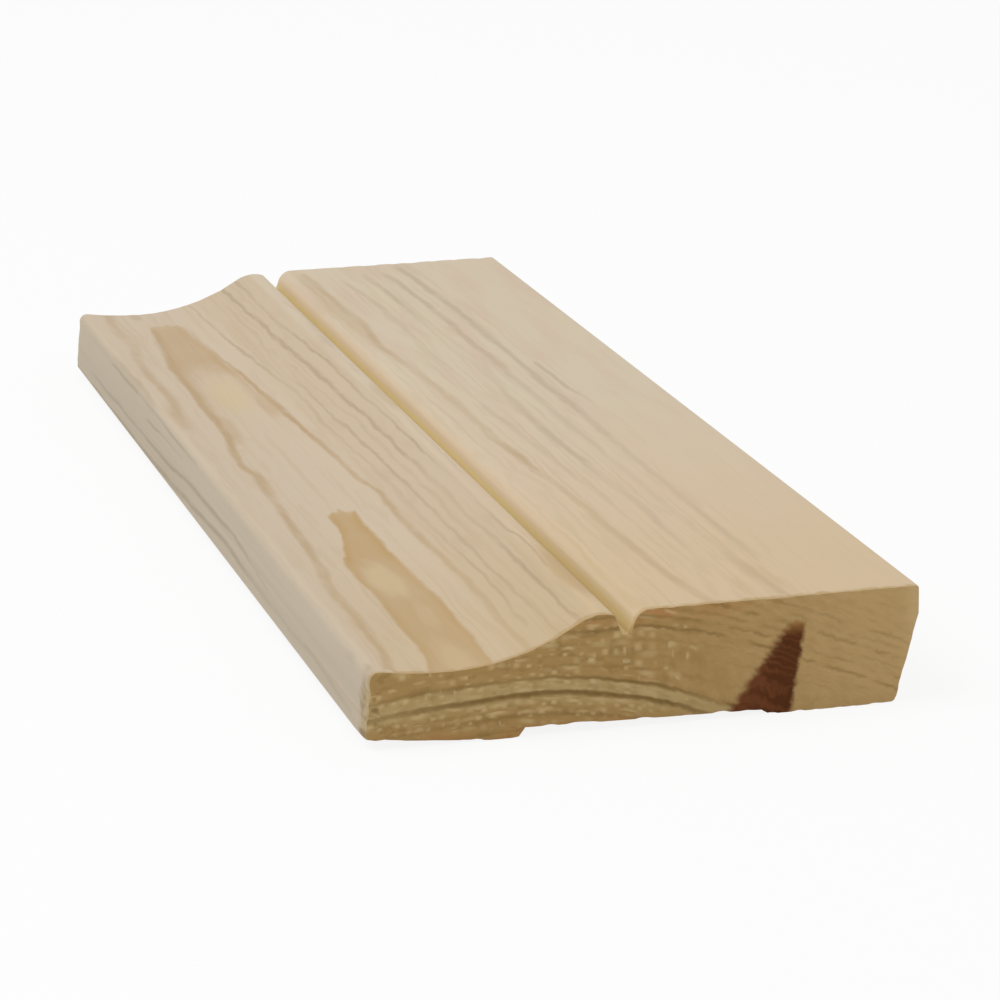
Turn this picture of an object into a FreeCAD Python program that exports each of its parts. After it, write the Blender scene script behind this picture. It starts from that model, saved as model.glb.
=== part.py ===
import FreeCAD, Part
import os
from math import atan2, hypot, sqrt

import Sketcher

# A short length of planed softwood skirting board, lying on its back.
# Millimetres. Row frame: +X along the board, +Y towards the thin moulded edge, +Z out of the face.
# The section is drawn with "across" measured from the thin edge and "height" from the back plane.

SIZES = {
    # the stock
    "board_length": 280.0,
    "board_width": 95.0,
    "board_thickness": 20.0,
    # the thin moulded edge, which leans in as it rises
    "thin_edge_lean": 1.1,
    "nose_radius": 1.5,
    # the cove: its lowest line, and the height of the lip between it and the thin edge
    "cove_across": 14.1,
    "cove_depth": 7.7,
    "lip_rise": 1.2,
    # the rounded crown, which runs from the cove over into the groove
    "crown_radius": 7.0,
    "crown_drop": 0.25,
    "crown_shoulder_drop": 0.6,
    # the narrow flat-bottomed groove that divides the moulding from the flat face
    "groove_across": 44.25,
    "groove_depth": 4.3,
    "groove_floor_width": 1.3,
    "groove_mouth_width": 4.4,
    "groove_crown_radius": 0.5,
    "groove_shoulder_radius": 3.0,
    # the thick edge, square at the face and undercut towards the back
    "thick_edge_square": 4.7,
    "undercut_reach": 4.1,
    "heel_radius": 0.8,
    "face_arris_radius": 0.4,
    # the back: the bevel under the thin edge, and the shallow relief between the two lands
    "back_bevel_width": 21.0,
    "back_bevel_rise": 1.8,
    "relief_start": 25.7,
    "relief_width": 43.0,
    "relief_depth_thin_side": 1.6,
    "relief_depth_thick_side": 0.85,
    "relief_side_run": 1.2,
}

# How a sketch numbers the points of a line or arc, and its own origin and axes.
START, END, CENTRE = 1, 2, 3
SKETCH_ORIGIN = (-1, START)
HORIZONTAL_AXIS, VERTICAL_AXIS = -1, -2


def make_sheet(doc):
    sheet = doc.addObject("Spreadsheet::Sheet", "sizes")
    for row, (alias, value) in enumerate(SIZES.items(), start=1):
        sheet.set(f"A{row}", alias)
        sheet.set(f"B{row}", str(value))
        sheet.setAlias(f"B{row}", alias)
    doc.recompute()
    return sheet


def new_sketch(body, name):
    """A sketch on the body's cross plane: its X runs across the board, its Y up from the back."""
    sketch = body.newObject("Sketcher::SketchObject", name)
    plane = next(item for item in body.Origin.OriginFeatures if item.Role == "YZ_Plane")
    sketch.AttachmentSupport = (plane, [""])
    sketch.MapMode = "FlatFace"
    return sketch


def add_line(sketch, start, end):
    first = FreeCAD.Vector(start[0], start[1], 0)
    last = FreeCAD.Vector(end[0], end[1], 0)
    return sketch.addGeometry(Part.LineSegment(first, last), False)


def add_arc(sketch, centre, start, end):
    """An arc about its centre, counter-clockwise from start to end."""
    circle = Part.Circle()
    circle.Center = FreeCAD.Vector(centre[0], centre[1], 0)
    circle.Radius = hypot(start[0] - centre[0], start[1] - centre[1])
    first = atan2(start[1] - centre[1], start[0] - centre[0])
    last = atan2(end[1] - centre[1], end[0] - centre[0])
    return sketch.addGeometry(Part.ArcOfCircle(circle, first, last), False)


def join(sketch, one, one_end, other, other_end):
    sketch.addConstraint(Sketcher.Constraint("Coincident", one, one_end, other, other_end))


def bind(sketch, kind, items, value, name, formula):
    """A driving dimension whose value comes from the sheet."""
    index = sketch.addConstraint(Sketcher.Constraint(kind, *items, value))
    sketch.renameConstraint(index, name)
    sketch.setExpression(f"Constraints.{name}", formula)


def place_across(sketch, item, end, value, name, formula):
    bind(sketch, "DistanceX", (*SKETCH_ORIGIN, item, end), value, name, formula)


def place_height(sketch, item, end, value, name, formula):
    bind(sketch, "DistanceY", (*SKETCH_ORIGIN, item, end), value, name, formula)


def draw_loop(sketch, corners):
    """Straight sides from each corner to the next, and back to the first."""
    sides = []
    for index, corner in enumerate(corners):
        sides.append(add_line(sketch, corner, corners[(index + 1) % len(corners)]))
    for index, side in enumerate(sides):
        join(sketch, side, END, sides[(index + 1) % len(sides)], START)
    return sides


def groove_places():
    """The groove's corners in the section, from the flat face over the floor to the crown."""
    face = SIZES["board_thickness"]
    across = SIZES["groove_across"]
    depth = SIZES["groove_depth"]
    half_floor = SIZES["groove_floor_width"] / 2
    half_mouth = SIZES["groove_mouth_width"] / 2
    shoulder = SIZES["crown_shoulder_drop"]
    half_shoulder = half_mouth - (half_mouth - half_floor) * shoulder / depth
    return [
        (across + half_mouth, face),
        (across + half_floor, face - depth),
        (across - half_floor, face - depth),
        (across - half_shoulder, face - shoulder),
    ]


def draw_section(sketch):
    """The front of the section and its back plane, counter-clockwise from the thin edge's foot."""
    width = SIZES["board_width"]
    face = SIZES["board_thickness"]
    square_foot = face - SIZES["thick_edge_square"]
    heel = width - SIZES["undercut_reach"]
    bevel_end = SIZES["back_bevel_width"]
    bevel_rise = SIZES["back_bevel_rise"]
    mouth, floor_end, floor_start, shoulder = groove_places()
    cove = SIZES["cove_across"]
    cove_floor = face - SIZES["cove_depth"]
    lip = cove_floor + SIZES["lip_rise"]
    lean = SIZES["thin_edge_lean"]

    # The crown's top is level with its centre, and its end is the groove's shoulder.
    crown_radius = SIZES["crown_radius"]
    crown_centre = face - SIZES["crown_drop"] - crown_radius
    crown_across = shoulder[0] - sqrt(crown_radius ** 2 - (shoulder[1] - crown_centre) ** 2)
    # The rise is level at the cove's floor and tangent to the crown, which fixes its radius.
    reach = crown_across - cove
    climb = crown_centre - cove_floor
    rise_radius = (reach ** 2 + climb ** 2 - crown_radius ** 2) / (2 * (crown_radius + climb))
    rise_centre = cove_floor + rise_radius
    share = rise_radius / (rise_radius + crown_radius)
    meet = (cove + share * reach, rise_centre + share * (crown_centre - rise_centre))
    lip_radius = ((cove - lean) ** 2 + SIZES["lip_rise"] ** 2) / (2 * SIZES["lip_rise"])

    bevel = add_line(sketch, (0, bevel_rise), (bevel_end, 0))
    back = add_line(sketch, (bevel_end, 0), (heel, 0))
    undercut = add_line(sketch, (heel, 0), (width, square_foot))
    square = add_line(sketch, (width, square_foot), (width, face))
    flat = add_line(sketch, (width, face), mouth)
    flat_wall = add_line(sketch, mouth, floor_end)
    floor = add_line(sketch, floor_end, floor_start)
    crown_wall = add_line(sketch, floor_start, shoulder)
    crown = add_arc(sketch, (crown_across, crown_centre), shoulder, meet)
    rise = add_arc(sketch, (cove, rise_centre), (cove, cove_floor), meet)
    lip_arc = add_arc(sketch, (cove, cove_floor + lip_radius), (lean, lip), (cove, cove_floor))
    thin_edge = add_line(sketch, (lean, lip), (0, bevel_rise))

    chain = [bevel, back, undercut, square, flat, flat_wall, floor, crown_wall, crown]
    for item, following in zip(chain, chain[1:]):
        join(sketch, item, END, following, START)
    sketch.addConstraint(Sketcher.Constraint("Tangent", crown, END, rise, END))
    join(sketch, rise, START, lip_arc, END)
    join(sketch, lip_arc, START, thin_edge, START)
    join(sketch, thin_edge, END, bevel, START)
    sketch.addConstraint(Sketcher.Constraint("PointOnObject", bevel, START, VERTICAL_AXIS))
    sketch.addConstraint(Sketcher.Constraint("PointOnObject", back, START, HORIZONTAL_AXIS))
    for item in (back, flat, floor):
        sketch.addConstraint(Sketcher.Constraint("Horizontal", item))
    sketch.addConstraint(Sketcher.Constraint("Vertical", square))
    sketch.addConstraint(Sketcher.Constraint("Vertical", rise, START, rise, CENTRE))
    sketch.addConstraint(Sketcher.Constraint("Vertical", lip_arc, END, lip_arc, CENTRE))

    place_height(sketch, bevel, START, bevel_rise, "bevel_rise", "sizes.back_bevel_rise")
    place_across(sketch, bevel, END, bevel_end, "bevel_width", "sizes.back_bevel_width")
    place_across(sketch, back, END, heel, "heel", "sizes.board_width - sizes.undercut_reach")
    place_across(sketch, undercut, END, width, "width", "sizes.board_width")
    place_height(sketch, undercut, END, square_foot, "square_foot",
                 "sizes.board_thickness - sizes.thick_edge_square")
    place_height(sketch, flat, START, face, "thickness", "sizes.board_thickness")

    place_across(sketch, flat, END, mouth[0], "mouth",
                 "sizes.groove_across + sizes.groove_mouth_width / 2")
    place_height(sketch, floor, START, floor_end[1], "floor",
                 "sizes.board_thickness - sizes.groove_depth")
    place_across(sketch, floor, START, floor_end[0], "floor_end",
                 "sizes.groove_across + sizes.groove_floor_width / 2")
    place_across(sketch, floor, END, floor_start[0], "floor_start",
                 "sizes.groove_across - sizes.groove_floor_width / 2")
    place_height(sketch, crown_wall, END, shoulder[1], "shoulder_height",
                 "sizes.board_thickness - sizes.crown_shoulder_drop")
    place_across(sketch, crown_wall, END, shoulder[0], "shoulder_across",
                 "sizes.groove_across - sizes.groove_mouth_width / 2"
                 " + (sizes.groove_mouth_width - sizes.groove_floor_width) / 2"
                 " * sizes.crown_shoulder_drop / sizes.groove_depth")

    bind(sketch, "Radius", (crown,), crown_radius, "crown_radius", "sizes.crown_radius")
    place_height(sketch, crown, CENTRE, crown_centre, "crown_centre",
                 "sizes.board_thickness - sizes.crown_drop - sizes.crown_radius")
    place_across(sketch, rise, START, cove, "cove_across", "sizes.cove_across")
    place_height(sketch, rise, START, cove_floor, "cove_floor",
                 "sizes.board_thickness - sizes.cove_depth")
    place_across(sketch, thin_edge, START, lean, "thin_edge_lean", "sizes.thin_edge_lean")
    place_height(sketch, thin_edge, START, lip, "lip",
                 "sizes.board_thickness - sizes.cove_depth + sizes.lip_rise")


def draw_relief(sketch):
    """The shallow channel in the back, a little deeper on the thin edge's side."""
    start = SIZES["relief_start"]
    end = start + SIZES["relief_width"]
    run = SIZES["relief_side_run"]
    corners = [
        (start, 0),
        (end, 0),
        (end - run, SIZES["relief_depth_thick_side"]),
        (start + run, SIZES["relief_depth_thin_side"]),
    ]
    sides = draw_loop(sketch, corners)
    sketch.addConstraint(Sketcher.Constraint("PointOnObject", sides[0], START, HORIZONTAL_AXIS))
    sketch.addConstraint(Sketcher.Constraint("Horizontal", sides[0]))
    place_across(sketch, sides[0], START, start, "start", "sizes.relief_start")
    place_across(sketch, sides[1], START, end, "end", "sizes.relief_start + sizes.relief_width")
    place_across(sketch, sides[2], START, end - run, "thick_side",
                 "sizes.relief_start + sizes.relief_width - sizes.relief_side_run")
    place_height(sketch, sides[2], START, corners[2][1], "thick_side_depth",
                 "sizes.relief_depth_thick_side")
    place_across(sketch, sides[3], START, start + run, "thin_side",
                 "sizes.relief_start + sizes.relief_side_run")
    place_height(sketch, sides[3], START, corners[3][1], "thin_side_depth",
                 "sizes.relief_depth_thin_side")


def pad_section(body, sketch):
    pad = body.newObject("PartDesign::Pad", "board")
    pad.Profile = sketch
    pad.SideType = "Symmetric"
    pad.setExpression("Length", "sizes.board_length")
    body.Document.recompute()
    return pad


def cut_along(body, sketch, name):
    """A cut of the sketch along the whole board, which has to take material away."""
    before = body.Shape.Volume
    pocket = body.newObject("PartDesign::Pocket", name)
    pocket.Profile = sketch
    pocket.SideType = "Symmetric"
    pocket.setExpression("Length", "sizes.board_length")
    body.Document.recompute()
    if body.Shape.Volume >= before:
        raise RuntimeError(f"{name} cuts nothing")
    return pocket


def long_edge(feature, across, height):
    """The name of the feature's lengthwise edge nearest to a place in the section."""
    best_name = None
    best_gap = None
    for index, edge in enumerate(feature.Shape.Edges, start=1):
        first = edge.firstVertex().Point
        last = edge.lastVertex().Point
        if abs(first.x - last.x) < SIZES["board_length"] / 2:
            continue
        gap = hypot(first.y - across, first.z - height)
        if best_gap is None or gap < best_gap:
            best_name = f"Edge{index}"
            best_gap = gap
    return best_name


def round_edge(body, name, base, across, height, radius_alias):
    fillet = body.newObject("PartDesign::Fillet", name)
    fillet.Base = (base, [long_edge(base, across, height)])
    fillet.setExpression("Radius", f"sizes.{radius_alias}")
    body.Document.recompute()
    return fillet


def build_board(doc):
    body = doc.addObject("PartDesign::Body", "skirting_board")
    body.Label = "skirting_board"
    section = new_sketch(body, "section")
    draw_section(section)
    pad_section(body, section)
    relief = new_sketch(body, "relief_section")
    draw_relief(relief)
    last = cut_along(body, relief, "back_relief")

    width = SIZES["board_width"]
    face = SIZES["board_thickness"]
    lip = face - SIZES["cove_depth"] + SIZES["lip_rise"]
    heel = width - SIZES["undercut_reach"]
    mouth, floor_end, floor_start, shoulder = groove_places()
    last = round_edge(body, "groove_shoulder", last, *mouth, "groove_shoulder_radius")
    last = round_edge(body, "groove_crown_side", last, *shoulder, "groove_crown_radius")
    last = round_edge(body, "nose", last, SIZES["thin_edge_lean"], lip, "nose_radius")
    last = round_edge(body, "face_arris", last, width, face, "face_arris_radius")
    round_edge(body, "heel", last, heel, 0, "heel_radius")

    # The section runs from the thin edge, so the body is turned and moved to centre the board.
    body.Placement = FreeCAD.Placement(FreeCAD.Vector(), FreeCAD.Rotation(FreeCAD.Vector(0, 0, 1), 180))
    body.setExpression("Placement.Base.y", "sizes.board_width / 2")
    return body


def check(doc, bodies):
    for item in doc.Objects:
        if "Invalid" in item.State or "Error" in item.State:
            raise RuntimeError(f"{item.Name} failed: {item.State}")
    for body in bodies:
        if body.Shape.isNull() or not body.Shape.isValid() or len(body.Shape.Solids) != 1:
            raise RuntimeError(f"{body.Label} has no sound solid")


def main():
    doc = FreeCAD.newDocument("skirting_board_length")
    make_sheet(doc)
    bodies = [build_board(doc)]
    doc.recompute()
    check(doc, bodies)
    os.makedirs("parts", exist_ok=True)
    for body in bodies:
        body.Shape.exportStep(f"parts/{body.Label}.step")
        box = body.Shape.BoundBox
        print(body.Label, f"{box.XLength:.2f} x {box.YLength:.2f} x {box.ZLength:.2f} mm,",
              f"{body.Shape.Volume / 1000:.1f} cm3")


main()
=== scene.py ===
from math import cos, pi, radians, sin

import bmesh
import bpy
from mathutils import Matrix, Vector, noise


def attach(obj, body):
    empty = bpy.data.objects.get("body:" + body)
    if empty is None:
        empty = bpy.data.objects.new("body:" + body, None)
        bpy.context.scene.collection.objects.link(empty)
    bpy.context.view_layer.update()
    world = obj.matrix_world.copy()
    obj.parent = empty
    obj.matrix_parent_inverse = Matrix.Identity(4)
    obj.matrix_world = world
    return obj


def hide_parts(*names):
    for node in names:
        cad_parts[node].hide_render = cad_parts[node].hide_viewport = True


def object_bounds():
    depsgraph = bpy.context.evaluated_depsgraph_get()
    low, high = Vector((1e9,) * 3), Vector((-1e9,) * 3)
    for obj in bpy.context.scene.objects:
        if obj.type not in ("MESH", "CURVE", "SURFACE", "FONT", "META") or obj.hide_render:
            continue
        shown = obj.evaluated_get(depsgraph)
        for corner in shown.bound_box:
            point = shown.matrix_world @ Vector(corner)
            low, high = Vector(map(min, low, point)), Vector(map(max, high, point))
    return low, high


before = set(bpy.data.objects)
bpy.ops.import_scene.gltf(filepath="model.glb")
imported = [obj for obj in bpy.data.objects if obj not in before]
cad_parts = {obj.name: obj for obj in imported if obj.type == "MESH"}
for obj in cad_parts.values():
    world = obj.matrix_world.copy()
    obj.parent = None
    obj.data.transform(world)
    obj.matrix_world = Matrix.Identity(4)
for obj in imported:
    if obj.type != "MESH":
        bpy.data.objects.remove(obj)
cad_low, cad_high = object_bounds()

# A sawn length of planed pine skirting board, lying on its back on a pale floor.
# Grain is laid out in millimetres from the corner where the near end, the thin edge and the back
# meet: along the board, across it and up through it. Meshes, lamps and the camera are in metres.
MM = 0.001
BOARD = "skirting_board"

board_length = (cad_high.x - cad_low.x) / MM
board_width = (cad_high.y - cad_low.y) / MM

# How finely the board is cut up, so that its sawn ends can be roughened (mm)
CELL_ACROSS = 0.6
CELL_UP = 0.6
SLICE_ALONG = 5.0
SLICES_AT_ENDS = (0.2, 0.45, 0.8, 1.3, 2.0, 3.2)

# Points this close are one point, and a cut this close to a point goes through it (m). Faces flatter
# to each other than one angle are joined, and edges sharper than the other stay sharp. A face is sawn
# where its normal lies this far along the board.
MERGE_DISTANCE = 1e-6
CUT_TOLERANCE = 1e-7
FLAT_ANGLE = radians(0.2)
SHARP_ANGLE = radians(28)
END_FACING = 0.6

# The sawn ends: how deep the saw tore, and the size of its marks (mm)
TORN_DEPTH = 0.14
TORN_CELL = 0.9

# Their arrises (mm): what has gone all round, and the most that a chip takes
ARRIS_LOSS = 0.04
ARRIS_CHIP = 0.30
BACK_CHIP = 0.55
THIN_EDGE_CHIP = 0.8

# The size of the chips and how far along the board they reach (mm), and where the deeper ones lie:
# below the middle by a share of half the thickness, and in a band beside the near end's thin edge (mm)
ARRIS_CELL = 2.3
ARRIS_REACH = 1.6
BACK_CHIP_FROM = 0.4
THIN_EDGE_BAND = 1.0

# The worn near corner between the thin edge and the back (mm): how high it lies, how far the wear
# reaches round it and along the board, and how much has gone
CORNER_HEIGHT = 1.8
CORNER_REACH = 2.2
CORNER_RUN = 8.0
CORNER_LOSS = 0.2

# Annual rings: low ones are round arcs about an apex, flatter to its left, and high ones bend down
# to the right from a shoulder. One kind passes into the other between two heights. A ring drops a
# little with each mm along the board.
LOW_APEX = 27.0
LOW_SPREAD_LEFT = 320.0
LOW_SPREAD_RIGHT = 160.0
HIGH_APEX = 44.0
HIGH_SLOPE = 0.45
HIGH_BEND = 17.4
HIGH_FROM = 9.0
HIGH_TO = 20.0
RING_DROP_RATE = 0.006

# How the rings waver: the size of each wave (mm along, across, up), where its noise starts, and by
# how many mm it lifts a ring. The finest one is stronger in the thick half, between two places across.
RING_SWAY = ((70.0, 12.0, 9.0), 0.0, 0.9)
RING_TREMBLE = ((15.0, 2.5, 2.5), 7.3, 0.35)
RING_RIPPLE = ((8.0, 1.2, 1.6), 4.9)
RIPPLE_GROWS = (45.0, 60.0, 0.35, 1.0)

# Latewood is darkest up to this share of its thickness from its outer edge, and that edge fades over
# these two places (mm)
LATEWOOD_FULL = 0.4
LATEWOOD_EDGE = (-0.1, 0.45)

# Each ring: the level of its dark outer edge (mm, at the apex), how dark it is on the sawn ends, and
# how thick its latewood is (mm)
RINGS = (
    (-0.6, 0.30, 0.60),
    (1.5, 0.30, 0.70),
    (4.1, 0.35, 1.20),
    (7.8, 1.00, 1.50),
    (10.3, 0.90, 1.10),
    (12.2, 0.22, 0.70),
    (13.8, 0.18, 0.70),
    (15.6, 0.20, 0.70),
    (17.7, 0.65, 1.10),
    (19.6, 0.50, 1.10),
    (21.2, 0.30, 1.10),
    (23.0, 0.55, 1.20),
    (24.6, 0.30, 1.10),
    (26.3, 0.45, 1.20),
    (28.0, 0.18, 1.00),
    (29.7, 0.22, 1.10),
    (31.4, 0.10, 0.80),
    (33.1, 0.14, 0.80),
    (34.8, 0.08, 0.80),
)
# The rings are read between these two levels, and their widths and latewood as shares of the most
RING_SCALE_LOW = -3.0
RING_SCALE_HIGH = 37.0
WIDEST_RING = 4.0
THICKEST_LATEWOOD = 1.6

# How the figure of the planed faces wavers: the size of each wave (mm along, across, up) and where its
# noise starts, then by how many mm it shifts the lines and patches
FIGURE_SWAY = ((16.0, 5.0, 9.0), 2.0)
FIGURE_TREMBLE = ((4.5, 1.3, 9.0), 6.0)
FIGURE_SHIFT = ((9.0, 2.5, 9.0), 9.0)
SWAY_ACROSS = 1.5
SWAY_UP = 1.2
TREMBLE_ACROSS = 0.6
SHIFT_ALONG = 9.0

# A line is darkest within this share of its half width, and fades from so far past its end point to so
# far short of it (mm)
LINE_CORE = 0.15
PAST_END = 1.0
SHORT_OF_END = 0.5

# A flame is deepest just inside its rim: two places inside the rim (mm), and the depth at each
FLAME_RIM = (2.4, 0.4, 0.82, 1.0)

# The rim of a flame or a hollow is so many mm soft, of which these shares lie outside it and inside it
FLAME_SOFT = 0.9
HOLLOW_SOFT = 4.0
FLAME_FADE = (-0.4, 0.6)

# A patch fades between two shares of its size, and a cream one takes this share of the tan away
PATCH_FADE = (1.15, 0.45)
PALE_CLEARS = -0.75

# Lines of latewood on the planed face. Each has a half width (mm), then points from the near end to
# the far end: mm along, mm across and how dark the line is there.
GREY_LINES = (
    (0.6, (
        (0, 36.6, 0.55), (28, 36.5, 0.85), (50, 36.2, 0.55), (75, 36.0, 0.3), (110, 35.8, 0.55),
        (132, 35.6, 0.9), (170, 35.0, 0.85), (210, 34.4, 0.9), (240, 33.7, 0.9), (280, 33.3, 0.9),
    )),
    (0.5, (
        (30, 39.3, 0.0), (45, 39.8, 0.65), (60, 39.0, 0.55), (95, 38.5, 0.1), (128, 38.2, 0.85),
        (150, 38.0, 0.45), (190, 37.4, 0.85), (215, 36.8, 0.75), (240, 36.1, 0.45), (280, 35.8, 0.65),
    )),
    (0.5, (
        (0, 33.0, 0.35), (40, 32.6, 0.55), (85, 32.3, 0.55), (112, 32.1, 0.75), (140, 31.7, 0.75),
        (165, 31.2, 0.55), (185, 31.0, 0.45), (205, 30.3, 0.1), (235, 31.4, 0.3), (265, 31.5, 0.1),
    )),
    (0.5, (
        (10, 30.4, 0.2), (45, 30.8, 0.55), (80, 30.3, 0.35), (110, 30.4, 0.35), (150, 29.3, 0.35),
        (190, 29.0, 0.35), (212, 27.8, 0.65), (235, 26.9, 0.75), (255, 25.9, 0.45), (280, 25.4, 0.55),
    )),
    (0.5, (
        (0, 34.8, 0.1), (60, 34.4, 0.2), (100, 34.1, 0.3), (140, 33.8, 0.3), (180, 33.0, 0.2),
        (205, 32.5, 0.3),
    )),
    (1.3, (
        (22, 74.9, 0.05), (45, 74.3, 0.35), (70, 74.5, 0.3), (97, 73.8, 0.35), (130, 74.2, 0.5),
        (160, 73.7, 0.55), (200, 73.8, 0.5), (235, 73.4, 0.55), (262, 72.4, 0.55), (280, 71.4, 0.25),
    )),
    (1.3, (
        (0, 72.0, 0.45), (15, 71.0, 0.35), (50, 70.1, 0.2), (75, 69.8, 0.25), (100, 69.5, 0.2),
        (125, 69.3, 0.35), (150, 69.5, 0.35), (190, 69.2, 0.45), (225, 69.1, 0.5), (255, 68.4, 0.55),
        (272, 67.6, 0.1),
    )),
    (1.3, (
        (30, 65.4, 0.0), (45, 65.2, 0.25), (65, 65.6, 0.35), (82, 64.6, 0.2), (100, 64.3, 0.5),
        (118, 63.6, 0.55), (145, 64.0, 0.3), (165, 65.3, 0.2), (200, 64.5, 0.05), (225, 64.3, 0.3),
        (245, 64.0, 0.5), (264, 63.0, 0.3), (272, 62.6, 0.0),
    )),
    (1.2, (
        (20, 61.0, 0.05), (60, 60.8, 0.1), (85, 60.0, 0.2), (105, 59.1, 0.35), (120, 58.6, 0.2),
        (138, 57.8, 0.35), (150, 57.8, 0.05), (190, 58.2, 0.2), (225, 59.0, 0.3), (248, 58.4, 0.35),
        (260, 57.2, 0.25), (266, 56.8, 0.0),
    )),
    (0.9, (
        (138, 78.3, 0.0), (147, 77.8, 0.35), (155, 77.0, 0.5), (176, 76.8, 0.55), (180, 76.8, 0.0),
    )),
    # This line along the rounded lip is partly a latewood line and partly painted shade on the lip.
    (1.0, (
        (185, 0.8, 0.0), (200, 1.7, 0.75), (222, 1.4, 0.85), (240, 1.0, 0.55), (272, 0.3, 0.3),
    )),
)
TAN_LINES = (
    (1.45, (
        (0, 5.0, 0.6), (20, 6.0, 0.6), (45, 6.0, 0.5), (75, 8.0, 0.7), (100, 8.9, 0.8),
        (118, 9.4, 0.5), (132, 9.8, 0.8), (142, 8.8, 0.8), (160, 10.4, 0.9), (175, 11.3, 0.9),
        (195, 11.5, 0.8), (222, 11.6, 0.9), (245, 12.8, 0.6), (262, 13.9, 0.4),
    )),
    (0.9, (
        (0, 27.8, 0.3), (45, 28.0, 0.5), (80, 27.5, 0.6), (105, 27.9, 0.8), (118, 26.8, 0.7),
        (150, 25.8, 0.8), (165, 25.1, 1.0), (185, 24.5, 0.9), (205, 23.8, 0.9), (222, 22.8, 0.8),
        (245, 21.5, 0.5), (262, 20.4, 0.3),
    )),
    (1.9, (
        (165, 3.6, 0.0), (180, 4.2, 0.4), (198, 6.0, 0.5), (214, 5.4, 0.6), (232, 5.6, 0.45),
        (250, 7.2, 0.4), (262, 6.6, 0.45), (280, 7.5, 0.6),
    )),
    (1.5, (
        (0, 59.3, 0.45), (12, 57.6, 0.5), (30, 56.4, 0.5), (60, 55.7, 0.4), (85, 55.0, 0.4),
        (98, 53.9, 0.7), (120, 53.0, 0.5), (150, 53.0, 0.4), (180, 51.5, 0.4), (202, 50.6, 0.6),
        (225, 51.6, 0.5), (240, 51.0, 0.4), (275, 50.6, 0.4),
    )),
)

# The same for the thin edge: mm along, mm up and how dark
EDGE_LINES = (
    (0.75, (
        (70, 5.5, 0.0), (91, 6.6, 0.5), (114, 7.8, 0.9), (132, 7.4, 1.0), (152, 6.9, 0.9),
        (170, 5.7, 1.0), (197, 5.2, 0.8), (232, 4.8, 0.8), (262, 4.4, 0.2),
    )),
    (0.85, (
        (10, 3.4, 0.3), (36, 4.4, 0.5), (61, 4.1, 0.4), (91, 4.0, 0.6), (118, 4.7, 1.0),
        (136, 4.0, 1.0), (152, 3.3, 0.9), (174, 2.7, 1.0), (197, 2.3, 0.9), (240, 2.0, 0.9),
        (278, 1.8, 0.8),
    )),
    (0.6, (
        (145, 12.2, 0.2), (174, 12.0, 0.8), (195, 12.2, 0.5), (212, 12.0, 0.9), (227, 11.6, 1.0),
        (240, 11.3, 0.2),
    )),
    (0.45, (
        (160, 10.1, 0.2), (182, 9.5, 0.7), (192, 9.0, 1.0), (198, 8.8, 0.1),
    )),
)

# The two tan flames on the cove, and the cream hollow that opens the far one into two legs.
# Points: mm along, mm across, half width (mm, at most the greatest) and how deep the colour is.
GREATEST_HALF_WIDTH = 8.0
NEAR_FLAME = (
    (0, 16.2, 5.6, 0.75),
    (15, 17.4, 5.0, 0.85),
    (36, 17.6, 5.2, 0.90),
    (47, 17.5, 4.7, 0.80),
    (63, 16.9, 4.8, 0.85),
    (76, 17.6, 3.8, 1.00),
    (84, 18.3, 3.0, 0.95),
    (90, 18.7, 2.6, 1.00),
    (95, 18.9, 2.6, 1.00),
    (101, 19.1, 2.7, 0.80),
)
FAR_FLAME = (
    (156, 16.8, 7.0, 0.00),
    (176, 16.9, 6.7, 0.30),
    (196, 16.9, 6.5, 0.55),
    (212, 17.0, 5.8, 0.70),
    (222, 17.0, 5.3, 0.80),
    (229, 17.0, 5.0, 0.80),
    (240, 17.1, 4.5, 0.70),
    (254, 16.8, 3.8, 0.75),
    (266, 17.0, 3.1, 0.50),
)
FAR_HOLLOW = (
    (150, 17.4, 6.6, 1.00),
    (170, 18.2, 5.6, 1.00),
    (185, 17.8, 5.0, 1.00),
    (198, 17.7, 4.9, 1.00),
    (208, 17.5, 4.8, 1.00),
    (216, 17.2, 4.3, 0.85),
    (223, 17.1, 3.6, 0.45),
    (230, 17.1, 3.0, 0.10),
    (236, 17.1, 2.4, 0.00),
)

# Soft patches on the face: mm along, mm across, half length, half width (mm) and strength
TAN_PATCHES = (
    (27, 41.4, 19, 2.4, 0.60),
    (42, 42.6, 14, 1.4, 0.35),
    (160, 41.2, 14, 1.8, 0.30),
    (186, 23.2, 15, 2.0, 0.45),
    (172, 12.4, 15, 2.6, 0.40),
    (126, 10.0, 12, 1.9, 0.30),
    (182, 4.4, 14, 2.6, 0.25),
    (240, 49.2, 42, 2.4, 0.35),
    (214, 49.8, 12, 2.0, 0.25),
    (8, 67.0, 9, 1.6, 0.15),
    (12, 71.5, 14, 2.6, 0.20),
)
PALE_PATCHES = (
    (56, 16.6, 13, 3.4, 0.75),
    (5, 16.8, 14, 3.0, 0.60),
    (32, 18.4, 10, 1.8, 0.35),
    (199, 17.8, 20, 4.2, 0.70),
)
GREY_PATCHES = (
    (210, 40.8, 9, 1.4, 0.22),
    (226, 42.0, 10, 1.1, 0.20),
    (60, 42.6, 6, 0.7, 0.30),
    (277, 13.0, 5, 1.3, 0.40),
    (15, 0.7, 5, 0.8, 0.60),
    (272, 73.5, 8, 2.0, 0.15),
)

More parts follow.
